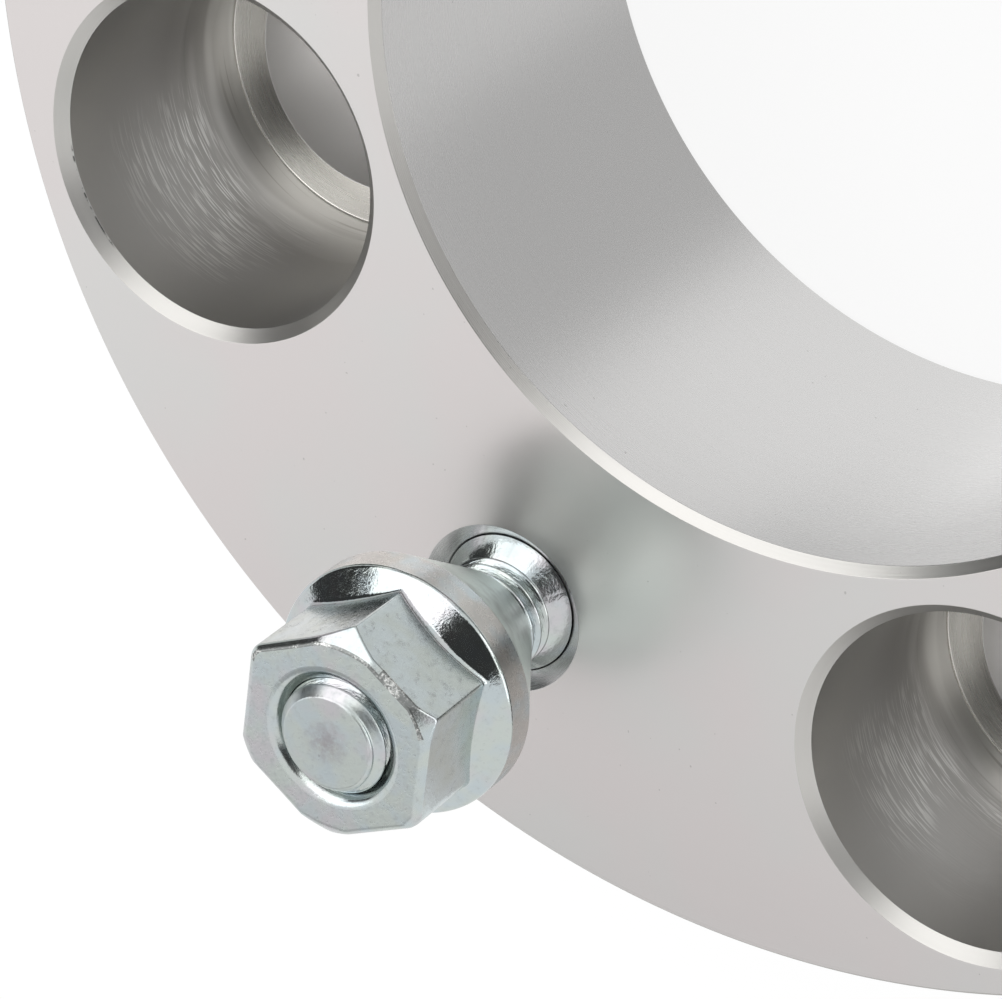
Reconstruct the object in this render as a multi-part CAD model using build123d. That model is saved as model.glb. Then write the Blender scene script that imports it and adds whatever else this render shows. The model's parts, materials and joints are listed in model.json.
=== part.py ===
from build123d import *
import math
import os

# Wheel spacer for a 4-lug hub, in millimetres. Z is the axle. The face at z = 0 lies on the hub, and
# the studs point towards +Z, where the wheel goes. Lug holes lie on the X and Y axes, studs between them.

# Ring, turned and drilled from one billet of aluminium
thickness = 38.0
hub_bore_diameter = 77.0
outer_wall = 3.5  # metal left outside the lug sockets
bore_chamfer = 0.8
edge_break = 0.3

# Lug holes and studs take turns on one circle
lug_count = 4
bolt_circle_diameter = 115.0

# Lug holes: a wide socket for the wrench, a flat, a conical nut seat and a hole for the hub's stud
socket_diameter = 30.0
socket_depth = 25.5
socket_chamfer = 1.0
seat_mouth_diameter = 23.3
seat_angle = 60.0
lug_hole_diameter = 12.0
lug_hole_chamfer = 0.5

# Stud holes: countersunk at the wheel face, with a recess for the stud's head at the hub face
stud_hole_diameter = 12.5
stud_hole_countersink = 1.3
head_recess_diameter = 18.0
head_recess_depth = 14.0

# Studs, pressed in from the hub face until the head meets the floor of its recess
head_diameter = 16.5
head_height = 4.0
head_chamfer = 0.5
press_gap = 0.01  # the crests of the serrations only just clear the hole
serration_count = 36
serration_depth = 0.3
serration_length = 10.0
shank_clearance = 0.12
shank_end_below_face = 1.25
thread_diameter = 9.9
thread_pitch = 1.25
thread_angle = 60.0
thread_depth = 0.77
thread_root_flat = 0.2
first_groove_above_shoulder = 1.27
stud_projection = 26.5
tip_chamfer = 0.95

# Nuts: a hexagon on a domed flange, with a conical seat below, run part of the way down the studs
nut_stand_off = 4.1  # from the wheel face to the small end of the nut's cone
nut_tip_diameter = 11.0
nut_cone_angle = 60.0
flange_diameter = 22.0
flange_rim = 2.8
dome_angle = 31.0
dome_root_fillet = 2.8  # sweeps the dome up to the hexagon
dome_root_inset = 0.25  # from the hexagon's flats in to where the sweep stands upright
hexagon_across_flats = 17.0
hexagon_height = 9.2  # from the flange's front edge to the nut's front face
nut_face_diameter = 16.6
nut_chamfer_angle = 45.0
thread_clearance = 0.05
nut_countersink = 0.8
nut_turns = (-14.0, 20.2, 47.0, 8.5)  # how far each nut has come to rest round its stud, in degrees

# How far a cutting shape runs past the face that it opens
overrun = 1.0

# Share of a wall's length, at most, that the fillet at its end takes up
fillet_share = 0.9


def tangent(degrees):
    return math.tan(math.radians(degrees))


def turned(outline):
    """Solid turned about Z from a closed outline of (radius, height) points."""
    return revolve(Plane.XZ * make_face(Polyline(*outline, close=True)), Axis.Z)


bolt_circle_radius = bolt_circle_diameter / 2
socket_radius = socket_diameter / 2
outer_radius = bolt_circle_radius + socket_radius + outer_wall
pitch_angle = 360 / lug_count


def place_of_lug_hole(index):
    return Rot(0, 0, index * pitch_angle) * Pos(bolt_circle_radius, 0, 0)


def place_of_stud(index):
    return Rot(0, 0, (index + 0.5) * pitch_angle) * Pos(bolt_circle_radius, 0, 0)


def make_ring():
    """The billet turned to size, bored through and chamfered at both ends of the bore."""
    bore_radius = hub_bore_diameter / 2
    return turned(
        [
            (bore_radius, bore_chamfer),
            (bore_radius + bore_chamfer, 0),
            (outer_radius - edge_break, 0),
            (outer_radius, edge_break),
            (outer_radius, thickness - edge_break),
            (outer_radius - edge_break, thickness),
            (bore_radius + bore_chamfer, thickness),
            (bore_radius, thickness - bore_chamfer),
        ]
    )


def make_lug_hole():
    """Space of one lug hole: socket, flat, conical seat and through hole, with its chamfers."""
    hole_radius = lug_hole_diameter / 2
    seat_mouth_radius = seat_mouth_diameter / 2
    flat_height = thickness - socket_depth
    seat_height = (seat_mouth_radius - hole_radius) / tangent(seat_angle / 2)
    seat_foot = flat_height - seat_height
    through = turned(
        [
            (0, -overrun),
            (hole_radius + lug_hole_chamfer + overrun, -overrun),
            (hole_radius, lug_hole_chamfer),
            (hole_radius, flat_height + overrun),
            (0, flat_height + overrun),
        ]
    )
    seat = turned(
        [
            (0, seat_foot),
            (hole_radius, seat_foot),
            (seat_mouth_radius, flat_height),
            (0, flat_height),
        ]
    )
    socket = turned(
        [
            (0, flat_height),
            (socket_radius, flat_height),
            (socket_radius, thickness - socket_chamfer),
            (socket_radius + socket_chamfer + overrun, thickness + overrun),
            (0, thickness + overrun),
        ]
    )
    return through + seat + socket


def make_stud_hole():
    """Space of one stud hole: head recess, hole and countersink."""
    hole_radius = stud_hole_diameter / 2
    recess_radius = head_recess_diameter / 2
    return turned(
        [
            (0, -overrun),
            (recess_radius, -overrun),
            (recess_radius, head_recess_depth),
            (hole_radius, head_recess_depth),
            (hole_radius, thickness - stud_hole_countersink),
            (hole_radius + stud_hole_countersink + overrun, thickness + overrun),
            (0, thickness + overrun),
        ]
    )


def make_spacer_body():
    body = make_ring()
    for index in range(lug_count):
        body -= place_of_lug_hole(index) * make_lug_hole()
        body -= place_of_stud(index) * make_stud_hole()
    return body


def make_serrations(crest_radius, root_radius, bottom, top):
    """Pointed teeth round the shank, which bite into the wall of the hole."""
    corners = []
    for step in range(2 * serration_count):
        radius = crest_radius if step % 2 == 0 else root_radius
        angle = math.pi * step / serration_count
        corners.append((radius * math.cos(angle), radius * math.sin(angle)))
    star = make_face(Polyline(*corners, close=True))
    return Pos(0, 0, bottom) * extrude(star, amount=top - bottom)


def make_stud():
    """One headed stud. The turns of thread that show below the nut are cut as grooves."""
    head_radius = head_diameter / 2
    head_seat = head_recess_depth
    head_end = head_seat - head_height
    crest_radius = stud_hole_diameter / 2 - press_gap
    root_radius = crest_radius - serration_depth
    serration_end = head_seat + serration_length
    shank_radius = stud_hole_diameter / 2 - shank_clearance
    shank_end = thickness - shank_end_below_face
    thread_radius = thread_diameter / 2
    shoulder_end = shank_end + shank_radius - thread_radius
    half_mouth = thread_root_flat / 2 + thread_depth * tangent(thread_angle / 2)
    stud_end = thickness + stud_projection
    outline = [
        (0, head_end),
        (head_radius - head_chamfer, head_end),
        (head_radius, head_end + head_chamfer),
        (head_radius, head_seat),
        (root_radius, head_seat),
        (root_radius, serration_end),
        (shank_radius, serration_end),
        (shank_radius, shank_end),
        (thread_radius, shoulder_end),
    ]
    open_turns = int(nut_stand_off / thread_pitch)
    for turn in range(open_turns):
        middle = shoulder_end + first_groove_above_shoulder + turn * thread_pitch
        outline.append((thread_radius, middle - half_mouth))
        outline.append((thread_radius - thread_depth, middle - thread_root_flat / 2))
        outline.append((thread_radius - thread_depth, middle + thread_root_flat / 2))
        outline.append((thread_radius, middle + half_mouth))
    outline.append((thread_radius, stud_end - tip_chamfer))
    outline.append((thread_radius - tip_chamfer, stud_end))
    outline.append((0, stud_end))
    serrations = make_serrations(crest_radius, root_radius, head_seat, serration_end)
    return turned(outline) + serrations


def make_flange(cone_end, rim_back, rim_front):
    """The nut's conical seat and its flange, whose domed front sweeps up to the hexagon."""
    flange_radius = flange_diameter / 2
    root_radius = hexagon_across_flats / 2 - dome_root_inset
    root_height = rim_front + (flange_radius - root_radius) * tangent(dome_angle)
    dome_length = (flange_radius - root_radius) / math.cos(math.radians(dome_angle))
    widest_fillet = dome_length / tangent((90 - dome_angle) / 2)
    fillet = min(dome_root_fillet, fillet_share * widest_fillet)
    rim_edge = (flange_radius, rim_front)
    sweep_top = (root_radius, root_height + fillet)
    dome = FilletPolyline(rim_edge, (root_radius, root_height), sweep_top, radius=fillet)
    sides = Polyline(
        sweep_top,
        (0, root_height + fillet),
        (0, cone_end),
        (nut_tip_diameter / 2, cone_end),
        (flange_radius, rim_back),
        rim_edge,
    )
    return revolve(Plane.XZ * make_face(dome + sides), Axis.Z)


def make_nut():
    """One nut: conical seat, flange, dome and chamfered hexagon, bored for the thread."""
    face_radius = nut_face_diameter / 2
    half_flats = hexagon_across_flats / 2
    bore_radius = thread_diameter / 2 + thread_clearance
    cone_end = thickness + nut_stand_off
    rim_back = cone_end + (flange_diameter - nut_tip_diameter) / 2 / tangent(nut_cone_angle / 2)
    rim_front = rim_back + flange_rim
    nut_front = rim_front + hexagon_height
    flange = make_flange(cone_end, rim_back, rim_front)
    hexagon = RegularPolygon(half_flats, 6, major_radius=False)
    prism = Pos(0, 0, rim_front) * extrude(hexagon, amount=hexagon_height)
    corner_radius = half_flats / math.cos(math.radians(30)) + overrun
    chamfer_foot = nut_front - (corner_radius - face_radius) * tangent(nut_chamfer_angle)
    envelope = turned(
        [
            (0, rim_front),
            (corner_radius, rim_front),
            (corner_radius, chamfer_foot),
            (face_radius, nut_front),
            (0, nut_front),
        ]
    )
    thread_space = turned(
        [
            (0, cone_end - overrun),
            (bore_radius, cone_end - overrun),
            (bore_radius, nut_front - nut_countersink),
            (bore_radius + nut_countersink + overrun, nut_front + overrun),
            (0, nut_front + overrun),
        ]
    )
    return flange + (prism & envelope) - thread_space


def write(shape, name):
    shape.label = name
    export_step(shape, f"parts/{name}.step")


os.makedirs("parts", exist_ok=True)
write(make_spacer_body(), "spacer_body")
for index in range(lug_count):
    turn = nut_turns[index % len(nut_turns)]
    write(place_of_stud(index) * make_stud(), f"wheel_stud_{index + 1}")
    write(place_of_stud(index) * Rot(0, 0, turn) * make_nut(), f"flange_nut_{index + 1}")
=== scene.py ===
import bmesh
import bpy
import json
import math
from mathutils import Matrix, Vector


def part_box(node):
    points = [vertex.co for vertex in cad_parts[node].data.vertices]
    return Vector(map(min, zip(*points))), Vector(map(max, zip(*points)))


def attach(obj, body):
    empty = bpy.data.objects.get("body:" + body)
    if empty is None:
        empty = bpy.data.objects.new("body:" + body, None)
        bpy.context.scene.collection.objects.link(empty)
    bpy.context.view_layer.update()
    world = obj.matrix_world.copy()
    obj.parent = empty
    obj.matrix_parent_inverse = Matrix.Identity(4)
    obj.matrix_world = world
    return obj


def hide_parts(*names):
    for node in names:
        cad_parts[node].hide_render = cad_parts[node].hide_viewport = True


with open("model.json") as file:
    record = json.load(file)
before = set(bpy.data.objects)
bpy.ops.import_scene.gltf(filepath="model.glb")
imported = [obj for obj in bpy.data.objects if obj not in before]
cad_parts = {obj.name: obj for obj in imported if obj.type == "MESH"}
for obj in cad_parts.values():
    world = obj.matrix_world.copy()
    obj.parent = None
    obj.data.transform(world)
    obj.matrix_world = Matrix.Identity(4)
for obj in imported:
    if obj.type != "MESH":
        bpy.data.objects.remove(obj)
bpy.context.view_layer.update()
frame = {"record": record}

# The spacer ring is turned and bored from a billet of aluminium and left bare. Four stepped sockets with a
# conical seat take the hub's nuts, and four countersunk holes between them hold the pressed-in studs.
MM = 0.001
mounts = {mount["name"]: mount["dims"] for mount in frame["record"]["mounts"]}
_, ring_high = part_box("spacer_body")
ring_radius = ring_high.x
ring_face = ring_high.z
ring_edge_break = 0.3 * MM
bore_radius = mounts["hub_bore"]["r_mm"] * MM
bore_chamfer = 0.8 * MM
circle_radius = mounts["wheel_studs"]["pcd_mm"] / 2 * MM
stud_count = mounts["wheel_studs"]["count"]
socket_radius = mounts["lug_sockets"]["hole_r_mm"] * MM
socket_chamfer = 1.0 * MM
socket_floor = ring_face - 25.5 * MM
seat_mouth_radius = 11.65 * MM
seat_half_angle = math.radians(30)
lug_hole_radius = mounts["hub_bolt_holes"]["hole_r_mm"] * MM
lug_hole_chamfer = 0.5 * MM
stud_hole_radius = 6.25 * MM
stud_countersink = 1.3 * MM
recess_radius = 9.0 * MM
recess_depth = 14.0 * MM
tool_edge = 0.06 * MM
socket_corner = 0.18 * MM
flat_margin = 1.2
weld_distance = 0.00001 * MM
longest_rounding = 0.45
ring_columns = 360
socket_columns = 160
stud_hole_columns = 96


def rounded(corners, steps=3):
    """Points along an outline of (radius, height, rounding, surface) corners, with the corners rounded.

    Metal lies to the left of the way that the outline runs. Each point comes with the surface that
    covers the stretch after it. A fifth item names the surface of the rounding alone. A rounding takes
    up no more than a share of the stretches beside it.
    """
    points = []
    last = len(corners) - 1
    for index, (radius, height, rounding, surface, *worn) in enumerate(corners):
        here = Vector((radius, height))
        if index in (0, last) or not rounding:
            points.append((here, surface))
            continue
        before = here - Vector(corners[index - 1][:2])
        after = Vector(corners[index + 1][:2]) - here
        room = longest_rounding * min(before.length, after.length)
        before.normalize()
        after.normalize()
        turn = math.atan2(before.x * after.y - before.y * after.x, before.dot(after))
        reach = min(rounding * math.tan(abs(turn) / 2), room)
        fitted = reach / math.tan(abs(turn) / 2)
        start = here - before * reach
        centre = start + Vector((-before.y, before.x)) * math.copysign(fitted, turn)
        for step in range(steps + 1):
            swing = Matrix.Rotation(turn * step / steps, 2)
            on_rounding = worn[0] if worn and step < steps else surface
            points.append((centre + swing @ (start - centre), on_rounding))
    return points


def at(centre, angle, radius, height):
    """The point at an angle, a radius and a height round an upright axis through the centre."""
    return centre + Vector((radius * math.cos(angle), radius * math.sin(angle), height))


def level_ring(centre, radius, height, columns):
    """A level ring of points round an upright axis."""
    return [at(centre, math.tau * column / columns, radius, height) for column in range(columns)]


class Skin:
    """A mesh built of rings of points, with a material for each surface."""

    def __init__(self):
        self.mesh = bmesh.new()
        self.surfaces = []

    def surface(self, name):
        if name not in self.surfaces:
            self.surfaces.append(name)
        return self.surfaces.index(name)

    def loft(self, rows, surfaces):
        """Joins each row of points to the next, and returns the first and the last ring of vertices.

        Each strip has one surface, or a list with a surface for each column.
        """
        rings = [[self.mesh.verts.new(point) for point in row] for row in rows]
        for below, above, surface in zip(rings, rings[1:], surfaces):
            for column in range(len(below)):
                after = (column + 1) % len(below)
                face = self.mesh.faces.new((below[column], below[after], above[after], above[column]))
                face.material_index = self.surface(surface if isinstance(surface, str) else surface[column])
        return rings[0], rings[-1]

    def turned(self, corners, columns, centre=Vector((0, 0, 0))):
        """Adds the surface turned from an outline round an upright axis through the centre."""
        points = rounded(corners)
        rows = [level_ring(centre, point.x, point.y, columns) for point, _ in points]
        return self.loft(rows, [surface for _, surface in points])

    def flat(self, loops, surface, up):
        """Fills the flat area between closed rings of vertices, facing up or down."""
        edges = []
        for loop in loops:
            for column, vertex in enumerate(loop):
                edges.append(self.mesh.edges.get((vertex, loop[(column + 1) % len(loop)])))
        made = bmesh.ops.triangle_fill(self.mesh, use_beauty=True, use_dissolve=False, edges=edges)
        for face in [item for item in made["geom"] if isinstance(item, bmesh.types.BMFace)]:
            face.material_index = self.surface(surface)
            face.normal_update()
            if (face.normal.z > 0) != up:
                face.normal_flip()

    def piece(self, name, materials):
        """Makes the object. Its shading follows the larger faces, so small roundings blend into flats."""
        bmesh.ops.remove_doubles(self.mesh, verts=self.mesh.verts, dist=weld_distance)
        self.mesh.normal_update()
        normals = []
        for vertex in self.mesh.verts:
            weighted = Vector((0, 0, 0))
            for face in vertex.link_faces:
                weighted += face.normal * face.calc_area()
            normals.append(weighted.normalized())
        data = bpy.data.meshes.new(name)
        self.mesh.to_mesh(data)
        self.mesh.free()
        data.shade_smooth()
        data.normals_split_custom_set_from_vertices(normals)
        for surface in self.surfaces:
            data.materials.append(materials[surface])
        made = bpy.data.objects.new(name, data)
        bpy.context.scene.collection.objects.link(made)
        return made


def hole_place(azimuth):
    """Where the axis of a lug hole or stud at an azimuth meets the hub."""
    return at(Vector((0, 0, 0)), azimuth, circle_radius, 0)


def stud_azimuth(index):
    """Azimuth of a stud. The studs stand midway between the lug holes."""
    return math.tau * (index + 0.5) / stud_count


# Each outline starts and ends a little way out on a flat face, and the two flat faces are filled last.
ring = Skin()
outer_back, outer_face = ring.turned(
    [
        (ring_radius - 2 * ring_edge_break, 0, 0, "back"),
        (ring_radius - ring_edge_break, 0, tool_edge, "edge"),
        (ring_radius, ring_edge_break, tool_edge, "outside"),
        (ring_radius, ring_face - ring_edge_break, tool_edge, "edge"),
        (ring_radius - ring_edge_break, ring_face, tool_edge, "face"),
        (ring_radius - 2 * ring_edge_break, ring_face, 0, "face"),
    ],
    ring_columns,
)
bore_face, bore_back = ring.turned(
    [
        (bore_radius + flat_margin * bore_chamfer, ring_face, 0, "face"),
        (bore_radius + bore_chamfer, ring_face, tool_edge, "bore_chamfer"),
        (bore_radius, ring_face - bore_chamfer, tool_edge, "bore"),
        (bore_radius, bore_chamfer, tool_edge, "bore_chamfer"),
        (bore_radius + bore_chamfer, 0, tool_edge, "back"),
        (bore_radius + flat_margin * bore_chamfer, 0, 0, "back"),
    ],
    ring_columns,
)
seat_foot = socket_floor - (seat_mouth_radius - lug_hole_radius) / math.tan(seat_half_angle)
face_rings = [outer_face, bore_face]
back_rings = [outer_back, bore_back]
for index in range(stud_count):
    lug_azimuth = math.tau * index / stud_count
    face_ring, back_ring = ring.turned(
        [
            (socket_radius + flat_margin * socket_chamfer, ring_face, 0, "face"),
            (socket_radius + socket_chamfer, ring_face, tool_edge, "socket_chamfer"),
            (socket_radius, ring_face - socket_chamfer, tool_edge, "socket"),
            (socket_radius, socket_floor, socket_corner, "floor"),
            (seat_mouth_radius, socket_floor, tool_edge, "seat"),
            (lug_hole_radius, seat_foot, tool_edge, "seat"),
            (lug_hole_radius, lug_hole_chamfer, tool_edge, "socket_chamfer"),
            (lug_hole_radius + lug_hole_chamfer, 0, tool_edge, "back"),
            (lug_hole_radius + flat_margin * lug_hole_chamfer, 0, 0, "back"),
        ],
        socket_columns,
        hole_place(lug_azimuth),
    )
    face_rings.append(face_ring)
    back_rings.append(back_ring)
    face_ring, back_ring = ring.turned(
        [
            (stud_hole_radius + flat_margin * stud_countersink, ring_face, 0, "face"),
            (stud_hole_radius + stud_countersink, ring_face, tool_edge, "countersink"),
            (stud_hole_radius, ring_face - stud_countersink, tool_edge, "seat"),
            (stud_hole_radius, recess_depth, tool_edge, "seat"),
            (recess_radius, recess_depth, tool_edge, "socket"),
            (recess_radius, 0, tool_edge, "back"),
            (recess_radius + 2 * tool_edge, 0, 0, "back"),
        ],
        stud_hole_columns,
        hole_place(stud_azimuth(index)),
    )
    face_rings.append(face_ring)
    back_rings.append(back_ring)
ring.flat(face_rings, "face", True)
ring.flat(back_rings, "back", False)


class Shade:
    """A socket in a material's nodes. Arithmetic on it adds Math nodes."""

    def __init__(self, tree, socket=None):
        self.tree = tree
        self.socket = socket

    def node(self, kind, output, settings=None, **values):
        """Adds a node, its settings first and then the values of its sockets, and returns its output."""
        made = self.tree.nodes.new(kind)
        for name, value in (settings or {}).items():
            setattr(made, name, value)
        for name, value in values.items():
            found = [item for item in made.inputs if name in (item.identifier, item.name.replace(" ", "_"))]
            socket = found[0]
            if isinstance(value, Shade):
                self.tree.links.new(value.socket, socket)
            elif socket.type == "RGBA":
                socket.default_value = (*value, 1.0)
            else:
                socket.default_value = value
        outputs = [item for item in made.outputs if output in (item.identifier, item.name)]
        return Shade(self.tree, outputs[0]) if outputs else None

    def math(self, operation, *values):
        """Adds a Math node, whose sockets differ only in their identifiers."""
        sockets = dict(zip(("Value", "Value_001"), values))
        return self.node("ShaderNodeMath", "Value", {"operation": operation}, **sockets)

    def __add__(self, other):
        return self.math("ADD", self, other)

    def __sub__(self, other):
        return self.math("SUBTRACT", self, other)

    def __mul__(self, other):
        return self.math("MULTIPLY", self, other)

    def __truediv__(self, other):
        return self.math("DIVIDE", self, other)

    def __rsub__(self, other):
        return self.math("SUBTRACT", other, self)

    __radd__ = __add__
    __rmul__ = __mul__

    def rise(self, low, high):
        """0 below low, 1 above high, and smooth between."""
        settings = {"interpolation_type": "SMOOTHSTEP"}
        return self.node("ShaderNodeMapRange", "Result", settings, Value=self, From_Min=low, From_Max=high)

    def noise(self, x, y, z, scale=1.0, detail=2.0, roughness=0.5):
        """Noise about 0.5 at a point whose coordinates are sockets or numbers."""
        place = self.node("ShaderNodeCombineXYZ", "Vector", X=x, Y=y, Z=z)
        return self.node(
            "ShaderNodeTexNoise", "Fac", Vector=place, Scale=scale, Detail=detail, Roughness=roughness
        )

    def tint(self, share, first, second):
        """The colour a share of the way from the first colour to the second."""
        settings = {"data_type": "RGBA", "clamp_factor": True}
        return self.node(
            "ShaderNodeMix", "Result_Color", settings, Factor_Float=share, A_Color=first, B_Color=second
        )


def start_finish(name):
    """A new material, a Shade to add its nodes by, and the object's x, y and z as sockets."""
    material = bpy.data.materials.new(name)
    material.use_nodes = True
    material.node_tree.nodes.clear()
    start = Shade(material.node_tree)
    place = start.node("ShaderNodeTexCoord", "Object")
    split = start.node("ShaderNodeSeparateXYZ", "X", Vector=place)
    outputs = split.socket.node.outputs
    return material, start, [Shade(material.node_tree, outputs[axis]) for axis in "XYZ"]


def metal(start, colour, roughness, height, depth):
    """Closes a finish as bare metal, with a relief of the given height map and depth."""
    normal = start.node("ShaderNodeBump", "Normal", Height=height, Distance=depth)
    shader = start.node(
        "ShaderNodeBsdfPrincipled",
        "BSDF",
        Base_Color=colour,
        Metallic=1.0,
        Roughness=roughness,
        Normal=normal,
    )
    start.node("ShaderNodeOutputMaterial", None, Surface=shader)


aluminium = (0.665, 0.657, 0.647)
aluminium_lilac = (0.682, 0.647, 0.641)
aluminium_bored = (0.54, 0.535, 0.53)
aluminium_cream = (0.53, 0.52, 0.5)
aluminium_socket = (0.6, 0.595, 0.582)
# The seats and floors of the sockets, and the stud holes' walls, are lighter than the face: painted light in
# the deep holes.
aluminium_seat = (0.78, 0.77, 0.76)
aluminium_floor = (0.82, 0.8, 0.76)
# A colour for the painted highlights and painted reflection on the socket walls.
aluminium_painted_highlight = (0.84, 0.84, 0.82)
# A colour for painted shade on the edge breaks and near the socket floors.
aluminium_painted_shade = (0.33, 0.32, 0.3)
# A colour for a band of painted shade on the socket walls.
aluminium_shaded_wall = (0.43, 0.42, 0.405)
nick_colour = (0.03, 0.03, 0.03)
nick_place = Vector((-2.2, 72.3)) * MM
nick_length = 10 * MM
# The colour of pits, and of the painted shade in chatter grooves.
pit_and_groove_shade_colour = (0.2, 0.19, 0.18)
pit_strength = 0.35
turning_drift = 2.5
# The side of the ring that faces the light, where the chatter grooves and their painted shade go.
lit_chatter_side = math.radians(110)
# The side of the socket walls that faces the light, where the painted highlights go.
highlight_side = math.radians(117)
dash_spacing = 0.18 * MM
dash_patch = 11 * MM
ring_spacing = 2.4 * MM
ring_strength = 0.35
line_spacing = 0.5 * MM
line_strength = 0.6


def turned_aluminium(name, along, colours, pitch, depth, roughness, lines=0.0):
    """Aluminium with fine tool marks round the axle, spaced along the radius on a face, or the height.

    It has faint clouds of two colours and a few pits. Lines are chatter grooves, darkened with painted
    shade, and kept to the side of the ring where the light shows them.
    """
    material, start, (x, y, z) = start_finish(name)
    radius = start.math("SQRT", x * x + y * y)
    across = radius if along == "radius" else z
    around_x = x / radius
    around_y = y / radius
    feed = start.math("SINE", across * (math.tau / pitch)) * 0.5 + 0.5
    marks = start.noise(
        across / pitch, around_x * turning_drift, around_y * turning_drift, roughness=0.6
    )
    clouds = start.noise(x, y, z, scale=60.0)
    pits = start.noise(x, y, z, scale=1900.0, detail=1.0).rise(0.78, 0.81)
    colour = start.tint(clouds.rise(0.35, 0.65), *colours)
    # Chatter grooves keep to the side of the ring that faces the light, and their dark colour is painted
    # shade.
    if lines:
        facing = around_x * math.cos(lit_chatter_side) + around_y * math.sin(lit_chatter_side)
        feed = feed * facing.rise(0.91, 0.95)
    colour = start.tint(pits * pit_strength + feed * lines, colour, pit_and_groove_shade_colour)
    metal(start, colour, roughness + (marks - 0.5) * 0.05, feed * 0.6 + marks, depth)
    return material


def around_hole(start, x, y):
    """Distance from the nearest hole's or stud's axis, the unit vector from it, and the hole's azimuth."""
    step = math.tau / (2 * stud_count)
    nearest = start.math("ROUND", start.math("ARCTAN2", y, x) / step) * step
    turn_back = start.math("ARCTAN2", y, x) - nearest
    radius = start.math("SQRT", x * x + y * y)
    local_x = radius * start.math("COSINE", turn_back) - circle_radius
    local_y = radius * start.math("SINE", turn_back)
    reach = start.math("SQRT", local_x * local_x + local_y * local_y)
    return reach, local_x / reach, local_y / reach, nearest


def hole_marks(start, z, hole, spacing, drift, shift, detail=1.0, roughness=0.5):
    """Noise in rings round a hole's own axis, a spacing apart across its face or up its wall.

    Drift is how fast the rings change on the way round. Shift makes them differ from hole to hole.
    """
    reach, around_x, around_y, nearest = hole
    across = (z + reach) / spacing
    along_x = around_x * drift + nearest * shift
    return start.noise(across, along_x, around_y * drift, detail=detail, roughness=roughness)


def milled_aluminium(name, colour, pitch, depth, roughness, nicked=False):
    """Aluminium with fine marks round each hole's own axis. One stretch of an edge may be nicked black."""
    material, start, (x, y, z) = start_finish(name)
    hole = around_hole(start, x, y)
    marks = hole_marks(start, z, hole, pitch, drift=1.5, shift=9, detail=2.0, roughness=0.6)
    if nicked:
        along = x - nick_place.x
        aside = y - nick_place.y
        distance = start.math("SQRT", along * along + aside * aside)
        off_nicks = distance.rise(0.4 * nick_length, 0.5 * nick_length)
        off_edge = start.math("ABSOLUTE", z - (ring_face - socket_chamfer)).rise(0.04 * MM, 0.16 * MM)
        chips = start.noise(x, y, z, scale=1300.0, detail=3.0).rise(0.4, 0.56)
        colour = start.tint(chips * (1.0 - off_nicks) * (1.0 - off_edge), colour, nick_colour)
    metal(start, colour, roughness + (marks - 0.5) * 0.1, marks, depth)
    return material


def socket_aluminium_painted_light(name, colour, pitch, depth, roughness):
    """The wall of a socket, with painted shade in a band above its floor, and painted highlights as light
    dashes, over fine relief, on the side that faces the light.

    Near the floor the painted highlights turn to a painted reflection of broad light rings, with thin
    dark lines of painted shade between them.
    """
    material, start, (x, y, z) = start_finish(name)
    hole = around_hole(start, x, y)
    marks = hole_marks(start, z, hole, pitch, drift=1.5, shift=9, detail=2.0, roughness=0.6)
    streaks = hole_marks(start, z, hole, dash_spacing, drift=5, shift=5)
    patches = hole_marks(start, z, hole, dash_patch, drift=1.2, shift=3)
    rings = hole_marks(start, z, hole, ring_spacing, drift=0.8, shift=2)
    lines = hole_marks(start, z, hole, line_spacing, drift=1, shift=4)
    above_floor = z - socket_floor
    near_floor = 1.0 - above_floor.rise(3 * MM, 12 * MM)
    painted_shade_band = above_floor.rise(1.5 * MM, 5 * MM) * (1.0 - above_floor.rise(6 * MM, 16 * MM))
    dash_band = above_floor.rise(4 * MM, 9 * MM) * (1.0 - above_floor.rise(16 * MM, 21 * MM))
    _, around_x, around_y, nearest = hole
    # Painted highlight: light dashes on the side of the wall that faces the light.
    turn = highlight_side - nearest
    facing = around_x * start.math("COSINE", turn) + around_y * start.math("SINE", turn)
    rubbed = dash_band * facing.rise(0.75, 0.95)
    dashes = streaks.rise(0.5, 0.63) * patches.rise(0.34, 0.52) * rubbed
    # Painted reflection near the floor: light rings, with thin dark lines of painted shade.
    light_rings = rings.rise(0.45, 0.62) * near_floor * ring_strength
    dark_lines = lines.rise(0.62, 0.72) * near_floor * line_strength
    # Painted shade in a band above the floor, under the painted highlights and reflection.
    colour = start.tint(painted_shade_band, colour, aluminium_shaded_wall)
    colour = start.tint(dashes + light_rings, colour, aluminium_painted_highlight)
    colour = start.tint(dark_lines, colour, aluminium_painted_shade)
    metal(start, colour, roughness, marks * 0.3 + streaks * rubbed, depth)
    return material


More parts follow.
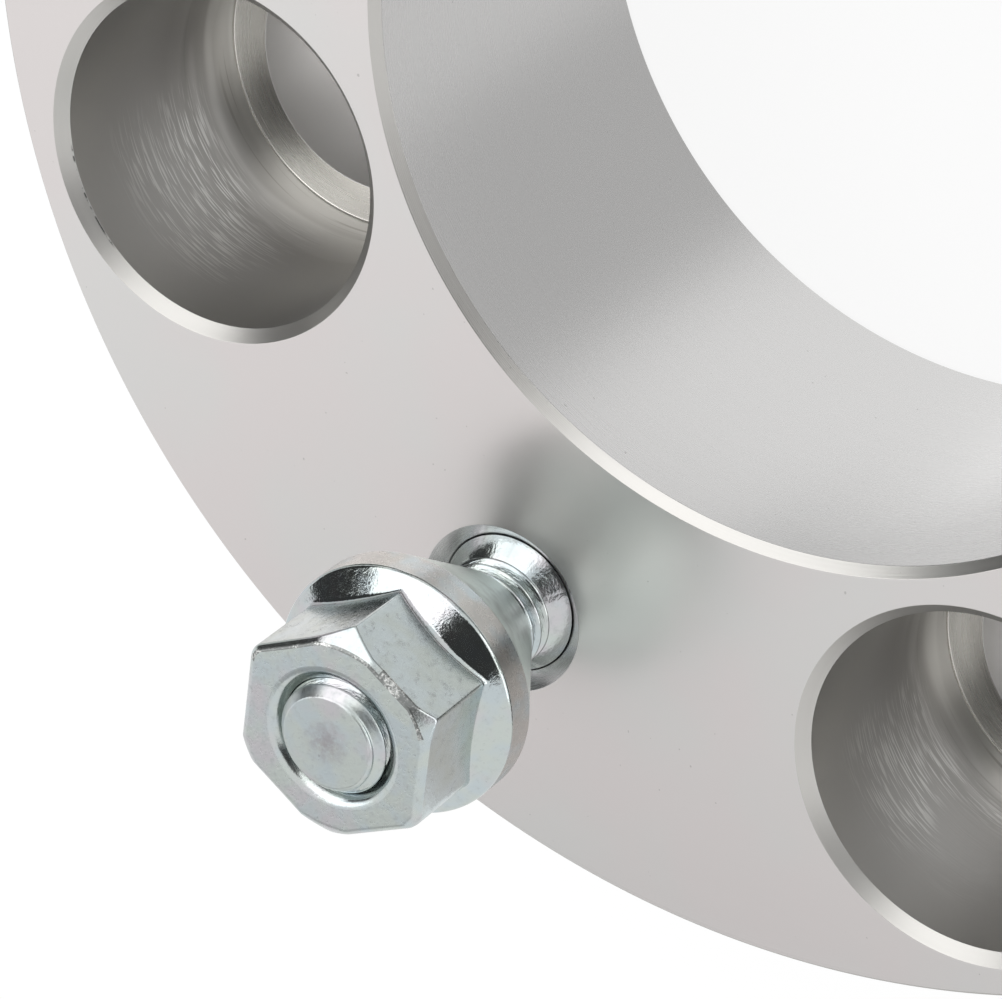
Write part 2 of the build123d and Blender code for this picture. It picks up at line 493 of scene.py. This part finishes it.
plain = (aluminium, aluminium_lilac)
# The edge breaks are darkened all round with painted shade.
dark_edge = (aluminium_painted_shade, aluminium_painted_shade)
bored = (aluminium_bored, aluminium_bored)
cream = (aluminium_cream, aluminium_cream)
ring_finishes = {
    "face": turned_aluminium(
        "aluminium_turned_face", "radius", plain, pitch=0.28 * MM, depth=0.001 * MM, roughness=0.29
    ),
    "back": turned_aluminium(
        "aluminium_turned_back", "radius", plain, pitch=0.3 * MM, depth=0.006 * MM, roughness=0.28
    ),
    # The outside takes the darker bored colour: painted shade that tones down the soft boxes' highlight on
    # the wall.
    "outside": turned_aluminium(
        "aluminium_turned_outside", "height", bored, pitch=0.25 * MM, depth=0.008 * MM, roughness=0.36
    ),
    # Painted shade: the edge breaks are dark.
    "edge": turned_aluminium(
        "aluminium_edge_break", "height", dark_edge, pitch=0.1 * MM, depth=0.003 * MM, roughness=0.3
    ),
    "bore": turned_aluminium(
        "aluminium_bored", "height", bored, pitch=0.2 * MM, depth=0.001 * MM, roughness=0.27
    ),
    "bore_chamfer": turned_aluminium(
        "aluminium_bore_chamfer", "height", cream, pitch=0.1 * MM, depth=0.01 * MM, roughness=0.3, lines=0.15
    ),
    # The socket walls carry painted shade, painted highlights and a painted reflection.
    "socket": socket_aluminium_painted_light(
        "aluminium_socket", aluminium_socket, pitch=0.3 * MM, depth=0.01 * MM, roughness=0.38
    ),
    "socket_chamfer": milled_aluminium(
        "aluminium_socket_chamfer",
        aluminium_cream,
        pitch=0.25 * MM,
        depth=0.005 * MM,
        roughness=0.36,
        nicked=True,
    ),
    "countersink": milled_aluminium(
        "aluminium_countersink", aluminium_bored, pitch=0.2 * MM, depth=0.002 * MM, roughness=0.27
    ),
    # Painted light: the floors and seats are lighter than the face.
    "floor": milled_aluminium(
        "aluminium_floor", aluminium_floor, pitch=0.2 * MM, depth=0.001 * MM, roughness=0.27
    ),
    "seat": milled_aluminium(
        "aluminium_seat", aluminium_seat, pitch=0.2 * MM, depth=0.001 * MM, roughness=0.38
    ),
}
spacer_ring = ring.piece("spacer_ring", ring_finishes)
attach(spacer_ring, "root")
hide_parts("spacer_body")

# The wheel studs are cold-headed steel with rolled threads, zinc plated. Each is pressed in from behind
# until its head meets the floor of its recess, and the serrations below the face keep it from turning.
stud_low, stud_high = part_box("wheel_stud_1")
head_radius = (stud_high.x - stud_low.x) / 2
head_height = 4.0 * MM
head_chamfer = 0.5 * MM
serration_count = 36
serration_crest = stud_hole_radius - 0.01 * MM
serration_length = 10.0 * MM
serration_run_out = 0.2 * MM
shank_radius = stud_hole_radius - 0.12 * MM
shank_end = ring_face - 1.25 * MM
thread_radius = mounts["wheel_studs"]["stud_r_mm"] * MM
thread_pitch = 1.25 * MM
thread_depth = 0.77 * MM
thread_half_angle = math.radians(30)
thread_root_flat = 0.2 * MM
first_groove = ring_face + 1.2 * MM
first_groove_azimuth = math.radians(-75)
tip_chamfer = 0.95 * MM
tip_start = stud_high.z - tip_chamfer
tip_radius = thread_radius - tip_chamfer
tip_flat_radius = thread_radius - 1.1 * tip_chamfer
columns_a_serration = 3
rows_a_pitch = 12
stud_columns = serration_count * columns_a_serration
shoulder_end = shank_end + shank_radius - thread_radius


def thread_surface(height, azimuth):
    """Radius of the stud's thread, which runs out on the shoulder and on the tip's chamfer."""
    groove = (height - first_groove) / thread_pitch - (azimuth - first_groove_azimuth) / math.tau
    off_groove = abs(groove - round(groove)) * thread_pitch
    flank = max(off_groove - thread_root_flat / 2, 0) / math.tan(thread_half_angle)
    thread = thread_radius - thread_depth + min(flank, thread_depth)
    shoulder = thread_radius + shoulder_end - height
    tip = tip_radius + stud_high.z - height
    return min(max(thread, shoulder), tip)


def add_thread(skin, centre):
    """Adds the thread as one long strip that winds up the stud, cut off level at both ends."""
    turns = math.ceil((stud_high.z - shoulder_end) / thread_pitch) + 1
    strips = []
    for row in range(rows_a_pitch):
        strip = []
        for column in range(-stud_columns, turns * stud_columns + 1):
            azimuth = math.tau * column / stud_columns
            rise = column / stud_columns + row / rows_a_pitch
            height = min(max(shoulder_end + rise * thread_pitch, shoulder_end), stud_high.z)
            radius = thread_surface(height, azimuth)
            strip.append(skin.mesh.verts.new(at(centre, azimuth, radius, height)))
        strips.append(strip)
    for row in range(rows_a_pitch):
        for column in range(len(strips[0]) - 1 - stud_columns):
            below = strips[row][column : column + 2]
            if row + 1 < rows_a_pitch:
                above = strips[row + 1][column : column + 2]
            else:
                above = strips[0][column + stud_columns : column + stud_columns + 2]
            face = skin.mesh.faces.new((below[0], below[1], above[1], above[0]))
            surface = "thread" if above[0].co.z < tip_start else "tip"
            face.material_index = skin.surface(surface)


def grooved_row(centre, height, crest):
    """A row of points round the shank, with the teeth of the serrations standing up to the crest."""
    row = []
    for column in range(stud_columns):
        on_crest = column % columns_a_serration != 0
        radius = crest if on_crest else shank_radius
        row.append(at(centre, math.tau * column / stud_columns, radius, height))
    return row


def zinc_plate(name, colours, roughness, mottle, grain, turning=0.0, bruise=0.0):
    """Bright zinc plating: three tints in soft clouds, mottled, with a fine grain and a few dark specks.

    Turning adds streaks round the axis of the stud, and a bruise is a dull patch round the axis.
    """
    material, start, (x, y, z) = start_finish(name)
    clouds = start.noise(x, y, z, scale=330.0, roughness=0.6)
    drifts = start.noise(x + 0.5, y, z, scale=260.0, roughness=0.6)
    blotches = start.noise(x, y, z, scale=1400.0, detail=3.0, roughness=0.7)
    fine = start.noise(x, y, z, scale=5000.0, roughness=0.6)
    specks = start.noise(x, y, z, scale=2600.0).rise(0.7, 0.76)
    colour = start.tint(clouds.rise(0.35, 0.6), colours[0], colours[1])
    colour = start.tint(drifts.rise(0.45, 0.7), colour, colours[2])
    colour = start.tint(blotches.rise(0.5, 0.8) * mottle, colour, zinc_dull)
    colour = start.tint(specks * speck_strength * mottle, colour, zinc_speck)
    relief = fine * 0.5 + blotches
    if bruise:
        reach, *_ = around_hole(start, x, y)
        off_centre = reach.rise(bruise_middle, bruise_edge)
        colour = start.tint((1.0 - off_centre) * blotches.rise(0.25, 0.6) * bruise, colour, zinc_bruise)
    if turning:
        hole = around_hole(start, x, y)
        streaks = hole_marks(start, z, hole, streak_spacing, drift=2, shift=7, detail=3.0, roughness=0.7)
        colour = start.tint(streaks.rise(0.5, 0.75) * turning, colour, zinc_dull)
        relief = relief * 0.5 + streaks * 2
    metal(start, colour, roughness + (blotches - 0.5) * mottle * 0.35, relief, grain)
    return material


def worn_zinc(name):
    """An edge where the plating is rubbed off: dark steel, with bright flecks of zinc left on it."""
    material, start, (x, y, z) = start_finish(name)
    flecks = start.noise(x, y, z, scale=4500.0, detail=3.0, roughness=0.7)
    thick = start.noise(x, y, z, scale=500.0, detail=1.0)
    left_on = (flecks + (thick - 0.5) * 0.6).rise(0.46, 0.72)
    metal(start, start.tint(left_on, worn_steel, zinc_bright), worn_roughness, flecks, worn_depth)
    return material


zinc = (0.5, 0.56, 0.58)
zinc_green = (0.53, 0.575, 0.55)
zinc_lilac = (0.55, 0.54, 0.56)
zinc_beige = (0.52, 0.51, 0.485)
zinc_flat = (0.565, 0.625, 0.635)
zinc_painted_light = (0.75, 0.82, 0.79)
zinc_bruise = (0.33, 0.3, 0.32)
zinc_bright = (0.76, 0.77, 0.75)
zinc_dull = (0.4, 0.43, 0.43)
zinc_speck = (0.13, 0.14, 0.14)
speck_strength = 0.4
worn_steel = (0.22, 0.23, 0.225)
worn_roughness = 0.3
worn_depth = 0.03 * MM
streak_spacing = 0.16 * MM
bruise_middle = 0.2 * MM
bruise_edge = 2.6 * MM
plating = (zinc, zinc_green, zinc_lilac)
# The cone under each nut is plated pale: painted light on a surface that faces down.
lit_cone_plating = (zinc_painted_light, zinc_painted_light, zinc_green)
flat_plating = (zinc_flat, zinc_green, zinc_flat)
rim_plating = (zinc_beige, zinc_beige, zinc)
stud_finishes = {
    "head": zinc_plate("zinc_stud_head", plating, roughness=0.32, mottle=0.5, grain=0.02 * MM),
    "shank": zinc_plate("zinc_shank", plating, roughness=0.3, mottle=0.4, grain=0.015 * MM),
    "shoulder": zinc_plate(
        "zinc_shoulder", plating, roughness=0.16, mottle=0.4, grain=0.05 * MM, turning=0.8
    ),
    "thread": zinc_plate(
        "zinc_thread", plating, roughness=0.16, mottle=0.5, grain=0.025 * MM, turning=0.35
    ),
    "tip": zinc_plate("zinc_tip", plating, roughness=0.33, mottle=0.8, grain=0.015 * MM, bruise=0.7),
}
for index in range(stud_count):
    stud_centre = hole_place(stud_azimuth(index))
    stud = Skin()
    head_ring, _ = stud.turned(
        [
            (head_radius - 2 * head_chamfer, stud_low.z, 0, "head"),
            (head_radius - head_chamfer, stud_low.z, head_chamfer / 2, "head"),
            (head_radius, stud_low.z + head_chamfer, head_chamfer / 2, "head"),
            (head_radius, stud_low.z + head_height, tool_edge, "head"),
            (shank_radius, stud_low.z + head_height, 0, "head"),
        ],
        stud_columns,
        stud_centre,
    )
    stud.flat([head_ring], "head", False)
    teeth_low = stud_low.z + head_height
    teeth_high = teeth_low + serration_length
    tooth_rows = [
        grooved_row(stud_centre, teeth_low, shank_radius),
        grooved_row(stud_centre, teeth_low, serration_crest),
        grooved_row(stud_centre, teeth_high, serration_crest),
        grooved_row(stud_centre, teeth_high + serration_run_out, shank_radius),
    ]
    stud.loft(tooth_rows, ["shank", "shank", "shank"])
    stud.turned(
        [
            (shank_radius, teeth_high + serration_run_out, 0, "shank"),
            (shank_radius, shank_end, tool_edge, "shoulder"),
            (thread_radius, shoulder_end, 0, "shoulder"),
        ],
        stud_columns,
        stud_centre,
    )
    add_thread(stud, stud_centre)
    tip_rows = [
        level_ring(stud_centre, tip_radius, stud_high.z, stud_columns),
        level_ring(stud_centre, tip_flat_radius, stud_high.z, stud_columns),
    ]
    _, tip_ring = stud.loft(tip_rows, ["tip"])
    stud.flat([tip_ring], "tip", True)
    name = f"wheel_stud_{index + 1}"
    stud_piece = stud.piece(f"{name}_threaded", stud_finishes)
    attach(stud_piece, "root")
    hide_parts(name)

# The flanged nuts are cold-forged steel, zinc plated: a hexagon on a domed flange over a conical seat.
# Each is run part of the way down its stud. Forging has left the six corners of a hexagon unlike each other.
nut_low, nut_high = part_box("flange_nut_1")
flange_radius = (nut_high.x - nut_low.x) / 2
nut_tip_radius = 5.5 * MM
nut_cone_half_angle = math.radians(30)
flange_rim = 2.8 * MM
half_flats = 8.5 * MM
side_angle = 60
half_side = math.radians(side_angle / 2)
dome_slope = math.radians(31)
dome_fillet = 0.75 * MM
nut_bore_radius = thread_radius + 0.05 * MM
nut_countersink = 0.8 * MM
nut_turns = (-14.0, 20.2, 47.0, 8.5)
corner_roundings = (1.2, 1.7, 0.5, 0.3, 1.6, 1.2)
corner_face_radii = (8.4, 9.0, 8.6, 8.3, 9.4, 8.8)
chamfer_slope = 1.07
cone_edge = 0.15 * MM
rim_rounding = 0.5 * MM
countersink_rounding = 1.2 * MM
worn_corner = 178
worn_reach = 58
worn_fade = 16
worn_roll = 0.4 * MM
soft_roll = 0.9 * MM
edge_width = 0.42 * MM
rubbed_flat = 134
rubbed_reach = 21
rubbed_width = 0.7 * MM
corner_steps = (0, 0.3, 0.6, 1.2, 2.0, 3.0, 4.0, 5.5)
flat_step = 2.5
rounding_steps = 5
rim_back = nut_low.z + (flange_radius - nut_tip_radius) / math.tan(nut_cone_half_angle)
rim_front = rim_back + flange_rim


def nut_angles():
    """Angles round the nut in degrees, close together at the corners of the hexagon."""
    side = list(corner_steps)
    while side[-1] + flat_step < side_angle - corner_steps[-1]:
        side.append(side[-1] + flat_step)
    side += [side_angle - step for step in reversed(corner_steps[1:])]
    return [side_angle * corner + angle for corner in range(len(corner_roundings)) for angle in side]


def nearest_corner(angle):
    """Which corner of the hexagon is nearest to an angle in degrees."""
    return round(angle / side_angle) % len(corner_roundings)


def hexagon_radius(angle):
    """Distance from the axis to the hexagon, with each corner as round as it is there."""
    rounding = corner_roundings[nearest_corner(angle)] * MM
    off_corner = math.radians(abs((angle + side_angle / 2) % side_angle - side_angle / 2))
    centre = (half_flats - rounding) / math.cos(half_side)
    tangent = math.atan2(rounding * math.sin(half_side), centre + rounding * math.cos(half_side))
    if off_corner >= tangent:
        return half_flats / math.cos(half_side - off_corner)
    return centre * math.cos(off_corner) + math.sqrt(rounding**2 - (centre * math.sin(off_corner)) ** 2)


def smooth(share):
    """Eases a share between 0 and 1 at both ends."""
    share = min(max(share, 0), 1)
    return share * share * (3 - 2 * share)


def nut_outline(angle):
    """The nut's section at an angle in degrees round its axis.

    The front edge is worn to the steel round one corner, and the edge of one chamfer is rubbed too.
    """
    wall = hexagon_radius(angle)
    wall_foot = rim_front + (flange_radius - wall) * math.tan(dome_slope)
    off_worn = abs((angle - worn_corner + 180) % 360 - 180)
    roll = worn_roll + (soft_roll - worn_roll) * smooth((off_worn - worn_reach) / worn_fade)
    corner_face = corner_face_radii[nearest_corner(angle)] * MM
    face_edge = min(corner_face, wall - edge_width)
    wall_end = nut_high.z - (wall - face_edge) * chamfer_slope
    edge = "worn" if off_worn < worn_reach + worn_fade / 2 else "front"
    rubbed = abs(angle - rubbed_flat) < rubbed_reach and wall - face_edge < rubbed_width
    return [
        (nut_bore_radius, nut_low.z, 0, "cone"),
        (nut_tip_radius, nut_low.z, cone_edge, "cone"),
        (flange_radius, rim_back, cone_edge, "rim"),
        (flange_radius, rim_front, rim_rounding, "dome"),
        (wall, wall_foot, dome_fillet, "flats", "dome"),
        (wall, wall_end, roll, "worn" if rubbed else "chamfer"),
        (face_edge, nut_high.z, roll, "front", edge),
        (nut_bore_radius + nut_countersink, nut_high.z, countersink_rounding, "countersink"),
        (nut_bore_radius, nut_high.z - nut_countersink, tool_edge, "bore"),
        (nut_bore_radius, nut_low.z, 0, "bore"),
    ]


nut_finishes = {
    # Painted light: the cone is pale, so that it shows bright in the face.
    "cone": zinc_plate("zinc_nut_cone", lit_cone_plating, roughness=0.34, mottle=0.3, grain=0.008 * MM),
    "rim": zinc_plate("zinc_nut_rim", rim_plating, roughness=0.28, mottle=0.4, grain=0.012 * MM),
    "dome": zinc_plate("zinc_nut_dome", plating, roughness=0.09, mottle=0.5, grain=0.015 * MM),
    "flats": zinc_plate("zinc_nut_flats", flat_plating, roughness=0.24, mottle=0.8, grain=0.018 * MM),
    "chamfer": zinc_plate("zinc_nut_chamfer", plating, roughness=0.2, mottle=0.6, grain=0.012 * MM),
    "front": zinc_plate("zinc_nut_front", plating, roughness=0.3, mottle=0.9, grain=0.02 * MM),
    "worn": worn_zinc("zinc_nut_worn_edge"),
    "countersink": zinc_plate("zinc_nut_countersink", plating, roughness=0.2, mottle=0.6, grain=0.012 * MM),
    "bore": zinc_plate("zinc_nut_bore", plating, roughness=0.3, mottle=0.5, grain=0.01 * MM),
}
for index in range(stud_count):
    nut_centre = hole_place(stud_azimuth(index))
    nut_azimuth = stud_azimuth(index) + math.radians(nut_turns[index])
    nut = Skin()
    sections = [(math.radians(angle), rounded(nut_outline(angle), rounding_steps)) for angle in nut_angles()]
    rows = []
    surfaces = []
    for row in range(len(sections[0][1])):
        rows.append([])
        surfaces.append([])
        for angle, section in sections:
            point, surface = section[row]
            rows[row].append(at(nut_centre, nut_azimuth + angle, point.x, point.y))
            surfaces[row].append(surface)
    nut.loft(rows, surfaces)
    name = f"flange_nut_{index + 1}"
    nut_piece = nut.piece(f"{name}_forged", nut_finishes)
    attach(nut_piece, "root")
    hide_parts(name)

# The spacer lies on its hub face on a plain white table, which shows white and keeps a soft shadow. The
# table has a slight polish, so the bright metal sees the dim places of the room in it.
table_size = 4.0
table_matte = (0.9, 0.9, 0.9)
table_white = (1.0, 1.0, 1.0)
table_glow = 0.88
table_polish = 0.3
table_roughness = 0.18
table_material = bpy.data.materials.new("white_table")
table_material.use_nodes = True
table_material.node_tree.nodes.clear()
table_start = Shade(table_material.node_tree)
seen = table_start.node("ShaderNodeLightPath", "Is Camera Ray")
ray = {item.name: Shade(table_material.node_tree, item) for item in seen.socket.node.outputs}
mirrored = table_start.math("MAXIMUM", ray["Is Glossy Ray"], ray["Is Transmission Ray"])
matte = table_start.node("ShaderNodeBsdfDiffuse", "BSDF", Color=table_matte)
glow = table_start.node("ShaderNodeEmission", "Emission", Color=table_white, Strength=1.0)
polish = table_start.node(
    "ShaderNodeBsdfAnisotropic", "BSDF", Color=table_white, Roughness=table_roughness
)
seen_direct = table_start.node(
    "ShaderNodeMixShader", "Shader", Fac=ray["Is Camera Ray"] * table_glow, Shader=matte, Shader_001=glow
)
seen_in_metal = table_start.node(
    "ShaderNodeMixShader", "Shader", Fac=table_polish, Shader=glow, Shader_001=polish
)
table_surface = table_start.node(
    "ShaderNodeMixShader", "Shader", Fac=mirrored, Shader=seen_direct, Shader_001=seen_in_metal
)
table_start.node("ShaderNodeOutputMaterial", None, Surface=table_surface)


def sheet_facing(name, centre, toward, width, height, material):
    """A flat rectangle at the centre, square on to the point that it faces."""
    data = bpy.data.meshes.new(name)
    corners = [
        (-width / 2, -height / 2, 0),
        (width / 2, -height / 2, 0),
        (width / 2, height / 2, 0),
        (-width / 2, height / 2, 0),
    ]
    data.from_pydata(corners, [], [(0, 1, 2, 3)])
    data.materials.append(material)
    made = bpy.data.objects.new(name, data)
    bpy.context.scene.collection.objects.link(made)
    made.location = centre
    made.rotation_euler = (Vector(toward) - Vector(centre)).to_track_quat("Z", "Y").to_euler()
    return made


sheet_facing("table", (0, 0, 0), (0, 0, 1), table_size, table_size, table_material)

# Plain studio light: a white room, three soft boxes, and two black cards and a grey one for the bright metal
# to mirror.
studio_centre = Vector((-40, 40, 38)) * MM
studio_radius = 2.0
white_room = bpy.data.worlds.new("white_room")
white_room.use_nodes = True
white_room.node_tree.nodes["Background"].inputs["Color"].default_value = (1.0, 1.0, 1.0, 1.0)
white_room.node_tree.nodes["Background"].inputs["Strength"].default_value = 1.0
bpy.context.scene.world = white_room


def studio_place(azimuth, elevation):
    """The point at an azimuth and elevation in degrees from the middle of the view."""
    flat = studio_radius * math.cos(math.radians(elevation))
    rise = studio_radius * math.sin(math.radians(elevation))
    return at(studio_centre, math.radians(azimuth), flat, rise)


def add_card(name, azimuth, elevation, width, height, lean, level):
    """A card that faces the part and leans by an angle in degrees in its own plane."""
    material = bpy.data.materials.new(name)
    material.use_nodes = True
    material.node_tree.nodes.clear()
    start = Shade(material.node_tree)
    shine = start.node("ShaderNodeEmission", "Emission", Color=(level, level, level), Strength=1.0)
    start.node("ShaderNodeOutputMaterial", None, Surface=shine)
    place = studio_place(azimuth, elevation)
    card = sheet_facing(name, place, studio_centre, width, height, material)
    card.rotation_euler = (
        card.rotation_euler.to_matrix() @ Matrix.Rotation(math.radians(lean), 3, "Z")
    ).to_euler()
    card.visible_camera = False
    card.visible_diffuse = False
    card.visible_transmission = False
    card.visible_shadow = False


add_card("card_behind_camera", azimuth=281, elevation=57, width=1.36, height=1.54, lean=0, level=0.05)
add_card("card_low", azimuth=47.2, elevation=13.7, width=1.42, height=1.8, lean=32, level=0.05)
add_card("card_grey", azimuth=135, elevation=33.5, width=0.96, height=1.11, lean=0, level=0.5)


def add_soft_box(name, azimuth, elevation, width, height, glow):
    """A rectangular lamp aimed at the middle of the view, brighter than the room by its glow."""
    data = bpy.data.lights.new(name, "AREA")
    data.shape = "RECTANGLE"
    data.size = width
    data.size_y = height
    data.energy = glow * math.pi * width * height
    lamp = bpy.data.objects.new(name, data)
    bpy.context.scene.collection.objects.link(lamp)
    lamp.location = studio_place(azimuth, elevation)
    lamp.rotation_euler = (studio_centre - lamp.location).to_track_quat("-Z", "Y").to_euler()
    lamp.visible_camera = False


add_soft_box("soft_box", azimuth=0, elevation=46.5, width=2.18, height=2.06, glow=1.0)
add_soft_box("soft_box_high", azimuth=64, elevation=54, width=0.95, height=1.0, glow=1.1)
add_soft_box("soft_box_low", azimuth=267, elevation=9, width=2.0, height=0.8, glow=1.3)

# The camera looks down on one stud and its nut through a long lens, from the far side of the bore. It is
# rolled, so that the ring fills the lower left of the frame.
camera_place = Vector((84.219, -188.708, 338.049)) * MM
camera_aim = Vector((-30.97, 37.64, 38.0)) * MM
camera_roll = math.radians(126.434)
view = (camera_aim - camera_place).normalized()
level = view.cross(Vector((0, 0, 1))).normalized()
upright = level.cross(view)
camera_up = upright * math.cos(camera_roll) + level * math.sin(camera_roll)
camera_side = view.cross(camera_up)
camera_data = bpy.data.cameras.new("camera")
camera_data.lens = 171.961
camera_data.sensor_width = 36.0
camera_data.clip_start = 0.01
camera = bpy.data.objects.new("camera", camera_data)
bpy.context.scene.collection.objects.link(camera)
camera_axes = Matrix((camera_side, camera_up, -view)).transposed()
camera.matrix_world = Matrix.Translation(camera_place) @ camera_axes.to_4x4()
bpy.context.scene.camera = camera
bpy.context.scene.view_settings.view_transform = "Standard"
